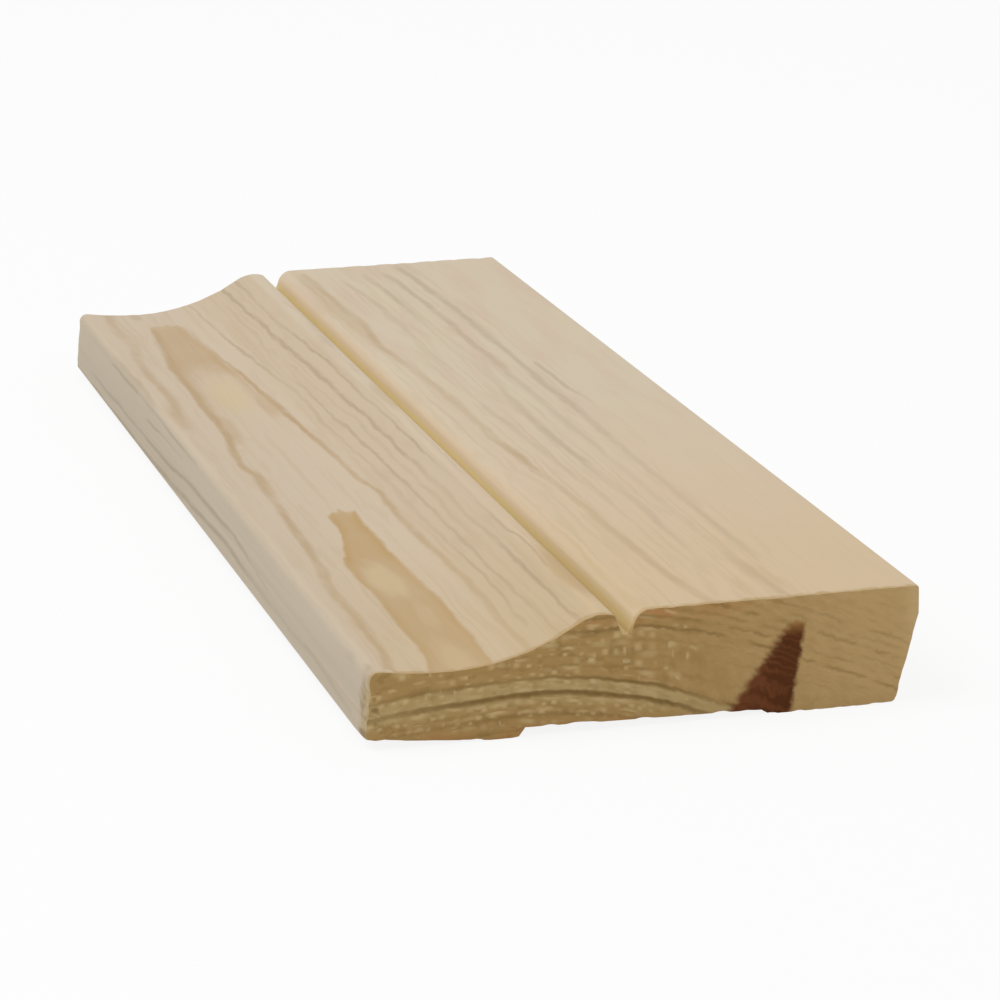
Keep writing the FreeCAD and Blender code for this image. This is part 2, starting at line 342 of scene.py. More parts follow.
# The dark streak in the near end, between two slanting lines, and how far it runs into the board (mm).
# Its edges are ragged and stepped by darker bands that follow the rings.
STREAK_LEFT_AT_BACK = 61.1
STREAK_LEFT_LEAN = 0.72
STREAK_RIGHT_AT_BACK = 72.6
STREAK_RIGHT_LEAN = 0.17
STREAK_LEFT_FADE = (-1.0, 1.1)
STREAK_RIGHT_FADE = (-0.5, 0.6)
STREAK_TOP = 15.8
STREAK_RUN = 34.0
STREAK_RUN_WAVERS = 30.0
STREAK_RAGGED = 1.2
STREAK_STEPS = 0.5
STREAK_BAND_TURN = 5.2
STREAK_BAND_WAVERS = 6.0
STREAK_BAND_DEPTH = 0.9

# Where the colours change, as the place where a change starts and the place where it is full.
# On the planed faces, in mm across from the thin edge:
FACE_SIDE = (-1.0, 0.2)
THIN_EDGE_SIDE = (2.6, 0.3)
COVE_SIDE = (40.0, 36.5)
RISE_LOW_SIDE = (25.5, 29.0)
RISE_HIGH_SIDE = (40.0, 38.0)
GROOVE_CROWN_SIDE = (42.6, 43.2)
GROOVE_FACE_SIDE = (47.2, 45.8)
# and in mm up from the back:
FACE_HEIGHT = (10.6, 11.4)
BELOW_FACE = (11.6, 10.8)
WALL_HEIGHT = (19.9, 18.6)
YELLOW_HEIGHT = (19.6, 17.6)
AMBER_HEIGHT = (17.8, 17.1)
# On the sawn ends, in mm across, in mm up, and in ring levels:
THICK_HALF = (40.0, 94.0)
SPECKED_HALF = (60.0, 46.0)
THICK_ARRIS = (91.5, 94.5)
TOP_HEIGHT = (16.8, 19.2)
BACK_HEIGHT = (2.6, 1.2)
PALE_RINGS_LOW_SIDE = (3.8, 8.4)
PALE_RINGS_HIGH_SIDE = (10.2, 9.2)
UPPER_RINGS = (8.6, 9.4)

# Pale torn fibres on the sawn ends, in two sizes: the cell that each lies in and its half size (mm
# across, mm of ring level), and where the noise starts
SPECK_KINDS = (
    ((2.1, 1.7), (0.76, 0.60), 0.0),
    ((4.3, 1.8), (1.90, 0.50), 7.0),
)

# Fine relief (mm) and shine
FIBRE_RELIEF = 0.03
SAW_RELIEF = 0.12
PLANED_SHINE = 0.3
SAWN_SHINE = 0.15

# Colours, as linear light
PALE_WOOD = (0.625, 0.520, 0.375, 1.0)
PINK_WOOD = (0.615, 0.485, 0.355, 1.0)
WARM_WOOD = (0.635, 0.495, 0.335, 1.0)
COVE_WOOD = (0.590, 0.475, 0.345, 1.0)
RISE_WOOD = (0.562, 0.446, 0.310, 1.0)
NEAR_WARMTH = (0.965, 0.915, 0.760, 1.0)
CREAM_PATCH = (0.610, 0.480, 0.290, 1.0)
FLAME_TAN = (0.455, 0.300, 0.140, 1.0)
FLAME_GOLD = (0.462, 0.300, 0.122, 1.0)
LINE_TAN = (0.450, 0.315, 0.170, 1.0)
LINE_GREY = (0.430, 0.325, 0.215, 1.0)
# Painted bounce light: the groove's amber bottom, yellower near the near end, brightened against its shade.
GROOVE_BOUNCE_AMBER = (0.690, 0.555, 0.275, 1.0)
GROOVE_BOUNCE_YELLOW = (0.620, 0.480, 0.225, 1.0)
# Painted light: a paler colour on the groove's upper wall, offsetting the shade the crown casts there.
GROOVE_WALL_PAINTED_LIGHT = (0.690, 0.545, 0.370, 1.0)
# Painted shade and reflection: the thin edge's greyer, darker colour.
EDGE_SHADE_GREY = (0.465, 0.395, 0.295, 1.0)
EDGE_DARK = (0.340, 0.280, 0.190, 1.0)
# Painted highlight: amber along the near end's arris, where it catches light.
ARRIS_HIGHLIGHT_AMBER = (0.440, 0.285, 0.110, 1.0)
END_BROWN = (0.405, 0.255, 0.092, 1.0)
END_LIGHT = (0.510, 0.340, 0.148, 1.0)
END_PALE = (0.480, 0.345, 0.155, 1.0)
END_RING = (0.180, 0.105, 0.026, 1.0)
END_RED = (0.470, 0.235, 0.085, 1.0)
END_SPECK = (0.620, 0.450, 0.225, 1.0)
TORN_BROWN = (0.300, 0.205, 0.090, 1.0)
TORN_PALE = (0.430, 0.330, 0.175, 1.0)
PIT_DARK = (0.150, 0.085, 0.028, 1.0)
STREAK_TOP_BROWN = (0.270, 0.125, 0.032, 1.0)
STREAK_DARK = (0.082, 0.020, 0.003, 1.0)
STREAK_RED = (0.150, 0.043, 0.013, 1.0)
FLOOR_PALE = (0.860, 0.860, 0.855, 1.0)
WHITE = (1.0, 1.0, 1.0, 1.0)

# The camera (lens and sensor in mm), the lamp, the room and the floor, in metres
CAMERA_AIM = Vector((-29.25, -4.41, 10.0)) * MM
CAMERA_DISTANCE = 845.16 * MM
CAMERA_AZIMUTH = radians(165.43)
CAMERA_ELEVATION = radians(14.92)
CAMERA_ROLL = radians(-0.777)
CAMERA_LENS = 162.19
CAMERA_SEES_FROM = 0.05
CAMERA_SEES_TO = 50.0
SENSOR = 36.0
LAMP_AZIMUTH = radians(95)
LAMP_ELEVATION = radians(58)
LAMP_DISTANCE = 1.3
LAMP_SIZE = 0.8
LAMP_BRIGHTNESS = 0.42
ROOM_LIGHT = 0.66
FLOOR_SIZE = 12.0
FLOOR_GLOW = 0.88


# Mesh

def cut_square(board, axis, places):
    """Cuts the whole board at planes square to one axis, without parting it."""
    normal = Vector((0.0, 0.0, 0.0))
    normal[axis] = 1.0
    for place in places:
        whole = board.verts[:] + board.edges[:] + board.faces[:]
        bmesh.ops.bisect_plane(
            board, geom=whole, dist=CUT_TOLERANCE, plane_co=normal * place, plane_no=normal
        )


def even_places(low, high, step):
    """Places about a step apart between two ends, without the ends."""
    count = round((high - low) / step)
    return [low + (high - low) * index / count for index in range(1, count)]


def refine_board(board):
    """Cuts the board into cells, with close slices beside its two sawn ends."""
    last_slice = SLICES_AT_ENDS[-1] * MM
    near_slices = [cad_low.x + depth * MM for depth in SLICES_AT_ENDS]
    far_slices = [cad_high.x - depth * MM for depth in SLICES_AT_ENDS]
    middle = even_places(cad_low.x + last_slice, cad_high.x - last_slice, SLICE_ALONG * MM)
    cut_square(board, 1, even_places(cad_low.y, cad_high.y, CELL_ACROSS * MM))
    cut_square(board, 2, even_places(cad_low.z, cad_high.z, CELL_UP * MM))
    cut_square(board, 0, near_slices + middle + far_slices)


def wear_corner(board):
    """Rounds off the near corner between the thin edge and the back."""
    corner = Vector((cad_low.x, cad_high.y, cad_low.z + CORNER_HEIGHT * MM))
    for vert in board.verts:
        off = (vert.co - corner) / MM
        away = Vector((off.x / CORNER_RUN, off.y / CORNER_REACH, off.z / CORNER_REACH)).length
        if away < 1:
            vert.co += Vector((0.0, -1.0, 1.0)) * CORNER_LOSS * (1 - away) ** 2 * MM


def roughen_ends(board):
    """Tears the sawn faces and crumbles their arrises, always into the wood."""
    middle_height = (cad_low.z + cad_high.z) / 2
    half_height = (cad_high.z - cad_low.z) / 2
    for vert in board.verts:
        inward = -1.0 if vert.co.x > 0 else 1.0
        depth = min(vert.co.x - cad_low.x, cad_high.x - vert.co.x) / MM
        if depth > ARRIS_REACH:
            continue
        fade = (1 - depth / ARRIS_REACH) ** 2
        place = vert.co / MM
        chip = max(0.0, noise.noise(place / ARRIS_CELL))
        lean = (middle_height - vert.co.z) / half_height
        most = BACK_CHIP if lean > BACK_CHIP_FROM else ARRIS_CHIP
        if vert.co.x < 0 and vert.co.y > cad_high.y - THIN_EDGE_BAND * MM:
            most = THIN_EDGE_CHIP
        loss = fade * (ARRIS_LOSS + most * chip)
        torn = TORN_DEPTH * (0.5 + 0.5 * noise.noise(place / TORN_CELL))
        vert.co += Vector((0.0, -vert.co.y / cad_high.y, lean)) * loss * MM
        vert.co.x += inward * fade * torn * MM


def mark_edges_and_ends(board):
    """Shades every face smooth, keeps the sharp edges sharp and gives the sawn ends their material."""
    for face in board.faces:
        face.smooth = True
        face.material_index = 1 if abs(face.normal.x) > END_FACING else 0
    for edge in board.edges:
        edge.smooth = edge.calc_face_angle(0.0) < SHARP_ANGLE


def make_board(planed, sawn):
    """The dressed board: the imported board's own shape, with sawn ends that are rough in the mesh."""
    board = bmesh.new()
    board.from_mesh(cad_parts[BOARD].data)
    bmesh.ops.remove_doubles(board, verts=board.verts, dist=MERGE_DISTANCE)
    bmesh.ops.dissolve_limit(board, angle_limit=FLAT_ANGLE, verts=board.verts, edges=board.edges)
    refine_board(board)
    bmesh.ops.dissolve_degenerate(board, dist=MERGE_DISTANCE, edges=board.edges)
    wear_corner(board)
    roughen_ends(board)
    mark_edges_and_ends(board)
    mesh = bpy.data.meshes.new("planed_board")
    board.to_mesh(mesh)
    board.free()
    mesh.materials.append(planed)
    mesh.materials.append(sawn)
    piece = bpy.data.objects.new("planed_board", mesh)
    bpy.context.scene.collection.objects.link(piece)
    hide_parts(BOARD)
    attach(piece, "root")


# Shader building

def feed(tree, socket, source):
    """Links a socket to another node's output, or sets it to a plain value."""
    if isinstance(source, bpy.types.NodeSocket):
        tree.links.new(source, socket)
    else:
        socket.default_value = source


def maths(tree, operation, *sources, clamp=False):
    """One sum on numbers."""
    node = tree.nodes.new("ShaderNodeMath")
    node.operation = operation
    node.use_clamp = clamp
    for socket, source in zip(node.inputs, sources):
        feed(tree, socket, source)
    return node.outputs[0]


def plus(tree, value, share, most, clamp=False):
    """A number with a share of some amount added to it."""
    return maths(tree, "MULTIPLY_ADD", share, most, value, clamp=clamp)


def product(tree, *sources):
    """All the numbers multiplied together."""
    total = sources[0]
    for source in sources[1:]:
        total = maths(tree, "MULTIPLY", total, source)
    return total


def ease(tree, value, start, end, low=0.0, high=1.0):
    """Goes smoothly from low to high as a value runs from start to end."""
    node = tree.nodes.new("ShaderNodeMapRange")
    node.interpolation_type = "SMOOTHSTEP"
    for name, source in (("Value", value), ("From Min", start), ("From Max", end)):
        feed(tree, node.inputs[name], source)
    feed(tree, node.inputs["To Min"], low)
    feed(tree, node.inputs["To Max"], high)
    return node.outputs["Result"]


def ease_straight(tree, value, start, end):
    """Goes evenly from 0 to 1 as a value runs from start to end."""
    node = tree.nodes.new("ShaderNodeMapRange")
    feed(tree, node.inputs["Value"], value)
    feed(tree, node.inputs["From Min"], start)
    feed(tree, node.inputs["From Max"], end)
    return node.outputs["Result"]


def tint(tree, share, under, over, blend_type="MIX"):
    """One colour laid over another, by a share from 0 to 1."""
    node = tree.nodes.new("ShaderNodeMix")
    node.data_type = "RGBA"
    node.blend_type = blend_type
    feed(tree, node.inputs[0], share)
    feed(tree, node.inputs[6], under)
    feed(tree, node.inputs[7], over)
    return node.outputs[2]


def cloud(tree, place, cell, detail=1.0, start=0.0):
    """Soft noise about a half, in cells of one size (mm along, across, up), from its own start."""
    scaled = tree.nodes.new("ShaderNodeMapping")
    scaled.inputs["Scale"].default_value = [1 / size for size in cell]
    scaled.inputs["Location"].default_value = (start, start, start)
    feed(tree, scaled.inputs["Vector"], place)
    node = tree.nodes.new("ShaderNodeTexNoise")
    node.inputs["Scale"].default_value = 1.0
    node.inputs["Detail"].default_value = detail
    feed(tree, node.inputs["Vector"], scaled.outputs[0])
    return node.outputs[0]


def waver(tree, place, cell, start=0.0, detail=1.0):
    """Soft noise about zero, from about minus a half to a half."""
    return maths(tree, "SUBTRACT", cloud(tree, place, cell, detail, start), 0.5)


def along_curve(tree, value, points, value_range, most, handle="AUTO"):
    """Reads a curve through (value, result) points, for results from 0 to the most."""
    low, high = value_range
    node = tree.nodes.new("ShaderNodeFloatCurve")
    feed(tree, node.inputs["Value"], ease_straight(tree, value, low, high))
    line = node.mapping.curves[0]
    while len(line.points) < len(points):
        line.points.new(0.5, 0.5)
    for knot, (at, result) in zip(line.points, points):
        knot.location = ((at - low) / (high - low), result / most)
        knot.handle_type = handle
    node.mapping.update()
    return maths(tree, "MULTIPLY", node.outputs[0], most)


def new_group(name, inputs, outputs):
    """An empty shader group with its sockets, and the two ends inside it."""
    tree = bpy.data.node_groups.new(name, "ShaderNodeTree")
    for label, kind in inputs:
        tree.interface.new_socket(label, in_out="INPUT", socket_type="NodeSocket" + kind)
    for label, kind in outputs:
        tree.interface.new_socket(label, in_out="OUTPUT", socket_type="NodeSocket" + kind)
    entry = tree.nodes.new("NodeGroupInput")
    way_out = tree.nodes.new("NodeGroupOutput")
    return tree, entry.outputs, way_out.inputs


def use_group(tree, group, **sources):
    """Places a group in a material and feeds its inputs."""
    node = tree.nodes.new("ShaderNodeGroup")
    node.node_tree = group
    for name, source in sources.items():
        feed(tree, node.inputs[name], source)
    return node.outputs


def split(tree, place):
    """The three parts of a place: along, across and up."""
    node = tree.nodes.new("ShaderNodeSeparateXYZ")
    feed(tree, node.inputs[0], place)
    return node.outputs


def join(tree, along, across, up):
    """A place from its three parts."""
    node = tree.nodes.new("ShaderNodeCombineXYZ")
    for socket, source in zip(node.inputs, (along, across, up)):
        feed(tree, socket, source)
    return node.outputs[0]


# Grain

def board_places():
    """Group: the place of a point in mm along the board, across from the thin edge, and up."""
    tree, _, result = new_group("board_places", (), (("Place", "Vector"),))
    coordinates = tree.nodes.new("ShaderNodeTexCoord")
    laid_out = tree.nodes.new("ShaderNodeMapping")
    laid_out.inputs["Scale"].default_value = (1 / MM, -1 / MM, 1 / MM)
    laid_out.inputs["Location"].default_value = (-cad_low.x / MM, cad_high.y / MM, -cad_low.z / MM)
    feed(tree, laid_out.inputs["Vector"], coordinates.outputs["Object"])
    feed(tree, result["Place"], laid_out.outputs[0])
    return tree


def ring_table(tree, ring, columns):
    """Looks a ring's three values up by its number, on one stepped ramp."""
    node = tree.nodes.new("ShaderNodeValToRGB")
    ramp = node.color_ramp
    ramp.interpolation = "CONSTANT"
    count = len(columns)
    while len(ramp.elements) < count:
        ramp.elements.new(1.0)
    for number, values in enumerate(columns):
        ramp.elements[number].position = number / count
        ramp.elements[number].color = (*values, 1.0)
    middle = maths(tree, "DIVIDE", maths(tree, "ADD", ring, 0.5), count)
    feed(tree, node.inputs["Fac"], middle)
    parts = tree.nodes.new("ShaderNodeSeparateColor")
    feed(tree, parts.inputs[0], node.outputs["Color"])
    return parts.outputs


def ring_level(tree, place):
    """How high a point's ring stands at its apex, in mm: the same all along one ring."""
    along, across, up = split(tree, place)
    from_apex = maths(tree, "SUBTRACT", across, LOW_APEX)
    spread = ease(tree, from_apex, -1.0, 1.0, LOW_SPREAD_LEFT, LOW_SPREAD_RIGHT)
    low_fall = maths(tree, "DIVIDE", maths(tree, "POWER", maths(tree, "ABSOLUTE", from_apex), 2.0), spread)
    past = maths(tree, "MAXIMUM", maths(tree, "SUBTRACT", across, HIGH_APEX), 0.0)
    bent = maths(tree, "SQRT", maths(tree, "MULTIPLY_ADD", past, past, HIGH_BEND ** 2))
    high_fall = maths(tree, "MULTIPLY", maths(tree, "SUBTRACT", bent, HIGH_BEND), HIGH_SLOPE)
    share = ease(tree, maths(tree, "ADD", up, low_fall), HIGH_FROM, HIGH_TO)
    fall = plus(tree, low_fall, maths(tree, "SUBTRACT", high_fall, low_fall), share)
    level = maths(tree, "ADD", up, fall)
    return plus(tree, level, along, RING_DROP_RATE)


def annual_rings():
    """Group: where a point lies in its annual ring, and how dark that ring is."""
    outputs = ("Latewood", "Level", "Depth")
    tree, given, result = new_group("annual_rings", (("Place", "Vector"),), [(o, "Float") for o in outputs])
    place = given["Place"]
    across = split(tree, place)[1]
    level = ring_level(tree, place)
    for cell, start, lift in (RING_SWAY, RING_TREMBLE):
        level = plus(tree, level, waver(tree, place, cell, start), lift)
    ripple = waver(tree, place, *RING_RIPPLE)
    level = plus(tree, level, ripple, ease(tree, across, *RIPPLE_GROWS))

    edges = [ring[0] for ring in RINGS]
    scale = (RING_SCALE_LOW, RING_SCALE_HIGH)
    points = [(RING_SCALE_LOW, 0.0)] + [(edge, number + 1.0) for number, edge in enumerate(edges)]
    points.append((RING_SCALE_HIGH, len(RINGS) + 1.0))
    reading = along_curve(tree, level, points, scale, len(RINGS) + 1.0, "VECTOR")
    ring = maths(tree, "FLOOR", reading)
    age = maths(tree, "FRACT", reading)
    widths = [edge - before for before, edge in zip([RING_SCALE_LOW] + edges, edges)]
    looks = ring_table(tree, ring, [
        (depth, width / WIDEST_RING, latewood / THICKEST_LATEWOOD)
        for width, (_, depth, latewood) in zip(widths, RINGS)
    ])
    to_edge = product(tree, maths(tree, "SUBTRACT", 1.0, age), looks[1], WIDEST_RING)
    latewood = maths(tree, "MULTIPLY", looks[2], THICKEST_LATEWOOD)
    full = maths(tree, "MULTIPLY", latewood, LATEWOOD_FULL)
    band = product(tree, ease(tree, to_edge, latewood, full), ease(tree, to_edge, *LATEWOOD_EDGE))
    feed(tree, result["Latewood"], band)
    feed(tree, result["Level"], level)
    feed(tree, result["Depth"], looks[0])
    return tree


def curves_along(tree, along, points, most):
    """Reads up to three curves at a place along the board, from points (mm along, values...)."""
    node = tree.nodes.new("ShaderNodeRGBCurve")
    share = maths(tree, "DIVIDE", along, board_length)
    feed(tree, node.inputs["Color"], join(tree, share, share, share))
    for curve, column, top in zip(node.mapping.curves, range(1, len(points[0])), most):
        while len(curve.points) < len(points):
            curve.points.new(0.5, 0.5)
        for knot, point in zip(curve.points, points):
            knot.location = (point[0] / board_length, point[column] / top)
            knot.handle_type = "AUTO_CLAMPED"
    node.mapping.update()
    parts = tree.nodes.new("ShaderNodeSeparateColor")
    feed(tree, parts.inputs[0], node.outputs["Color"])
    return [maths(tree, "MULTIPLY", part, top) for part, top in zip(parts.outputs, most)]


def within_run(tree, along, points):
    """1 between a line's first and last points, and 0 beyond them."""
    first, last = points[0][0], points[-1][0]
    return product(tree, ease(tree, along, first - PAST_END, first + SHORT_OF_END),
                   ease(tree, along, last + PAST_END, last - SHORT_OF_END))


def face_lines(tree, along, across, lines):
    """All the lines of one kind on the planed face, laid over each other."""
    total = 0.0
    for half_width, points in lines:
        middle, depth = curves_along(tree, along, points, (board_width, 1.0))
        off = maths(tree, "ABSOLUTE", maths(tree, "SUBTRACT", across, middle))
        band = ease(tree, off, half_width, half_width * LINE_CORE)
        total = maths(tree, "MAXIMUM", total, product(tree, band, depth, within_run(tree, along, points)))
    return total


def flame(tree, along, across, points, soft=FLAME_SOFT):
    """A tongue of colour along the board, deepest just inside its rim, which is soft over some mm."""
    middle, half_width, depth = curves_along(tree, along, points, (board_width, GREATEST_HALF_WIDTH, 1.0))
    off = maths(tree, "ABSOLUTE", maths(tree, "SUBTRACT", across, middle))
    within = maths(tree, "SUBTRACT", half_width, off)
    inside = ease(tree, within, *[share * soft for share in FLAME_FADE])
    rim = ease(tree, within, *FLAME_RIM)
    return product(tree, inside, rim, depth, within_run(tree, along, points))


def patches(tree, along, across, rows):
    """Soft oval patches, laid over each other."""
    total = 0.0
    for middle_along, middle_across, half_length, half_width, strength in rows:
        lengthwise = maths(tree, "DIVIDE", maths(tree, "SUBTRACT", along, middle_along), half_length)
        crosswise = maths(tree, "DIVIDE", maths(tree, "SUBTRACT", across, middle_across), half_width)
        away = maths(tree, "SQRT", maths(tree, "ADD", product(tree, lengthwise, lengthwise),
                                         product(tree, crosswise, crosswise)))
        total = maths(tree, "MAXIMUM", total, ease(tree, away, *PATCH_FADE, high=strength))
    return total


def face_figure():
    """Group: the figure of the planed face and thin edge, as one mask for each kind of mark."""
    outputs = ("Tan", "Tan Lines", "Grey Lines", "Pale", "Faint", "Edge Lines")
    tree, given, result = new_group("face_figure", (("Place", "Vector"),), [(o, "Float") for o in outputs])
    place = given["Place"]
    along, across, up = split(tree, place)
    sway = waver(tree, place, *FIGURE_SWAY)
    waved = plus(tree, across, sway, SWAY_ACROSS)
    waved = plus(tree, waved, waver(tree, place, *FIGURE_TREMBLE), TREMBLE_ACROSS)
    raised = plus(tree, up, sway, SWAY_UP)
    shifted = plus(tree, along, waver(tree, place, *FIGURE_SHIFT), SHIFT_ALONG)

    on_face = product(tree, ease(tree, up, *FACE_HEIGHT), ease(tree, across, *FACE_SIDE))
    breaks = ease(tree, cloud(tree, place, (7.0, 2.0, 9.0), start=3.3), 0.25, 0.55, low=0.6)
    hollow = flame(tree, shifted, waved, FAR_HOLLOW, HOLLOW_SOFT)
    far_flame = product(tree, flame(tree, shifted, waved, FAR_FLAME), maths(tree, "SUBTRACT", 1.0, hollow))
    flames = maths(tree, "MAXIMUM", flame(tree, shifted, waved, NEAR_FLAME), far_flame)
    pale = patches(tree, shifted, waved, PALE_PATCHES)
    tan = maths(tree, "MAXIMUM", flames, patches(tree, shifted, waved, TAN_PATCHES))
    tan = product(tree, tan, plus(tree, 1.0, pale, PALE_CLEARS))
    tan_lines = face_lines(tree, shifted, waved, TAN_LINES)
    grey_lines = face_lines(tree, shifted, waved, GREY_LINES)
    grey = maths(tree, "MAXIMUM", grey_lines, patches(tree, shifted, waved, GREY_PATCHES))
    thin = cloud(tree, join(tree, along, waved, up), (55.0, 0.9, 9.0), start=2.9)
    short = cloud(tree, join(tree, along, waved, up), (18.0, 2.2, 9.0), start=5.1)
    faint = maths(tree, "MAXIMUM", ease(tree, thin, 0.52, 0.72), ease(tree, short, 0.54, 0.70, high=0.7))
    feed(tree, result["Tan"], product(tree, tan, on_face))
    feed(tree, result["Tan Lines"], product(tree, tan_lines, on_face, breaks))
    feed(tree, result["Grey Lines"], product(tree, grey, on_face, breaks))
    feed(tree, result["Pale"], product(tree, pale, on_face))
    feed(tree, result["Faint"], faint)
    feed(tree, result["Edge Lines"], product(tree, face_lines(tree, shifted, raised, EDGE_LINES), breaks))
    return tree


def dark_streak():
    """Group: the dark resinous streak that shows in the near end and fades along the board."""
    inputs = (("Place", "Vector"), ("Level", "Float"))
    tree, given, result = new_group("dark_streak", inputs, (("Streak", "Float"), ("Bands", "Float")))
    place = given["Place"]
    along, across, up = split(tree, place)
    uneven = cloud(tree, place, (30.0, 3.0, 1.6), detail=2.0, start=6.6)
    turn = maths(tree, "MULTIPLY", given["Level"], STREAK_BAND_TURN)
    turn = plus(tree, turn, uneven, STREAK_BAND_WAVERS)
    banded = plus(tree, 0.5, maths(tree, "SINE", turn), 0.5)
    ragged = waver(tree, place, (30.0, 1.6, 1.1), 3.1, detail=2.0)
    across = plus(tree, across, ragged, STREAK_RAGGED)
    stepped = plus(tree, across, maths(tree, "SUBTRACT", 0.5, banded), STREAK_STEPS)
    left = plus(tree, STREAK_LEFT_AT_BACK, up, STREAK_LEFT_LEAN)
    right = plus(tree, STREAK_RIGHT_AT_BACK, up, STREAK_RIGHT_LEAN)
    past_left = ease(tree, maths(tree, "SUBTRACT", stepped, left), *STREAK_LEFT_FADE)
    short_of_right = ease(tree, maths(tree, "SUBTRACT", right, across), *STREAK_RIGHT_FADE)
    under_top = ease(tree, plus(tree, up, ragged, 1.5), STREAK_TOP + 0.6, STREAK_TOP - 1.0)
    ending = plus(tree, STREAK_RUN, ragged, STREAK_RUN_WAVERS)
    runs_in = ease(tree, along, ending, maths(tree, "MULTIPLY", ending, 0.5))
    breadth = maths(tree, "SUBTRACT", right, left)
    from_left = maths(tree, "DIVIDE", maths(tree, "SUBTRACT", across, left), breadth)
    core = ease(tree, plus(tree, from_left, up, 0.06), 0.2, 1.2)
    dark = plus(tree, core, maths(tree, "SUBTRACT", banded, 0.5), STREAK_BAND_DEPTH, clamp=True)
    feed(tree, result["Streak"], product(tree, past_left, short_of_right, under_top, runs_in))
    feed(tree, result["Bands"], dark)
    return tree


def finish_surface(tree, colour, roughness, shine, height, depth):
    """Ends a material: one Principled shader with its colour, roughness and fine relief."""
    relief = tree.nodes.new("ShaderNodeBump")
    relief.inputs["Distance"].default_value = depth
    feed(tree, relief.inputs["Height"], height)
    wood = tree.nodes.new("ShaderNodeBsdfPrincipled")
    wood.inputs["Specular IOR Level"].default_value = shine
    feed(tree, wood.inputs["Base Color"], colour)
    feed(tree, wood.inputs["Roughness"], roughness)
    feed(tree, wood.inputs["Normal"], relief.outputs[0])
    way_out = tree.nodes.new("ShaderNodeOutputMaterial")
    feed(tree, way_out.inputs["Surface"], wood.outputs[0])


def blank_material(name):
    """A material with an empty node tree."""
    material = bpy.data.materials.new(name)
    material.use_nodes = True
    material.node_tree.nodes.clear()
    return material, material.node_tree


def plain_wood(tree, place, along, across):
    """Cream wood with pinker blotches, warmer towards the near end and duller on the cove."""
    pink = ease(tree, cloud(tree, place, (50.0, 6.0, 9.0), detail=2.0, start=5.7), 0.42, 0.68)
    colour = tint(tree, pink, PALE_WOOD, PINK_WOOD)
    warm = plus(tree, along, cloud(tree, place, (60.0, 14.0, 9.0), start=8.1), -90.0)
    colour = tint(tree, ease(tree, warm, 130.0, -20.0), colour, WARM_WOOD)
    colour = tint(tree, ease(tree, across, *COVE_SIDE), colour, COVE_WOOD)
    on_rise = product(tree, ease(tree, across, *RISE_LOW_SIDE), ease(tree, across, *RISE_HIGH_SIDE))
    return tint(tree, on_rise, colour, RISE_WOOD)


def draw_figure(tree, colour, along, across, drawn):
    """Faint grain, cream patches, tan flames and latewood lines, all warmer towards the near end."""
    busy = ease(tree, across, 84.0, 72.0, low=0.05, high=0.22)
    colour = tint(tree, product(tree, drawn["Faint"], busy), colour, LINE_TAN)
    colour = tint(tree, drawn["Pale"], colour, CREAM_PATCH)
    flame_colour = tint(tree, ease(tree, along, 130.0, 90.0), FLAME_TAN, FLAME_GOLD)
    colour = tint(tree, drawn["Tan"], colour, flame_colour)
    colour = tint(tree, drawn["Tan Lines"], colour, LINE_TAN)
    colour = tint(tree, drawn["Grey Lines"], colour, LINE_GREY)
    off_tan = ease(tree, drawn["Tan"], 0.0, 1.0, low=1.0, high=0.2)
    near = product(tree, ease(tree, along, 105.0, -5.0), ease(tree, across, 1.0, 7.0, high=0.75),
                   ease(tree, across, 60.0, 41.0, low=0.6), off_tan)
    return tint(tree, near, colour, NEAR_WARMTH, "MULTIPLY")


def colour_groove(tree, colour, along, across, up):
    """The groove's painted light: a pale upper wall against its shade and an amber bottom of painted bounce
    light, both yellower towards the near end.
    """
    groove = product(tree, ease(tree, across, *GROOVE_CROWN_SIDE), ease(tree, across, *GROOVE_FACE_SIDE))
    # Painted light: the upper wall of the groove is made paler against its shade.
    wall = product(tree, groove, ease(tree, up, *WALL_HEIGHT))
    colour = tint(tree, wall, colour, GROOVE_WALL_PAINTED_LIGHT)
    # Painted bounce light: amber and yellow low on the groove's wall and in its bottom.
    yellow_bounce = product(tree, groove, ease(tree, up, *YELLOW_HEIGHT), ease(tree, along, 90.0, 20.0, high=0.5))
    colour = tint(tree, yellow_bounce, colour, GROOVE_BOUNCE_YELLOW)
    bottom = product(tree, groove, ease(tree, up, *AMBER_HEIGHT), 0.95)
    bounce_colour = tint(tree, ease(tree, along, 110.0, 10.0), GROOVE_BOUNCE_AMBER, GROOVE_BOUNCE_YELLOW)
    return tint(tree, bottom, colour, bounce_colour)


def colour_thin_edge(tree, colour, place, across, edge_lines):
    """The thin edge: greyed and darkened unevenly by painted shade and reflection, with its own dark lines.
    """
    on_thin_edge = ease(tree, across, *THIN_EDGE_SIDE)
    # Painted shade: the thin edge is greyed and darkened in patches.
    patchy_shade = ease(tree, cloud(tree, place, (70.0, 9.0, 1.6), detail=2.0, start=3.7), 0.3, 0.7, low=0.75)
    colour = tint(tree, product(tree, on_thin_edge, patchy_shade), colour, EDGE_SHADE_GREY)
    return tint(tree, product(tree, on_thin_edge, edge_lines, 0.8), colour, EDGE_DARK)


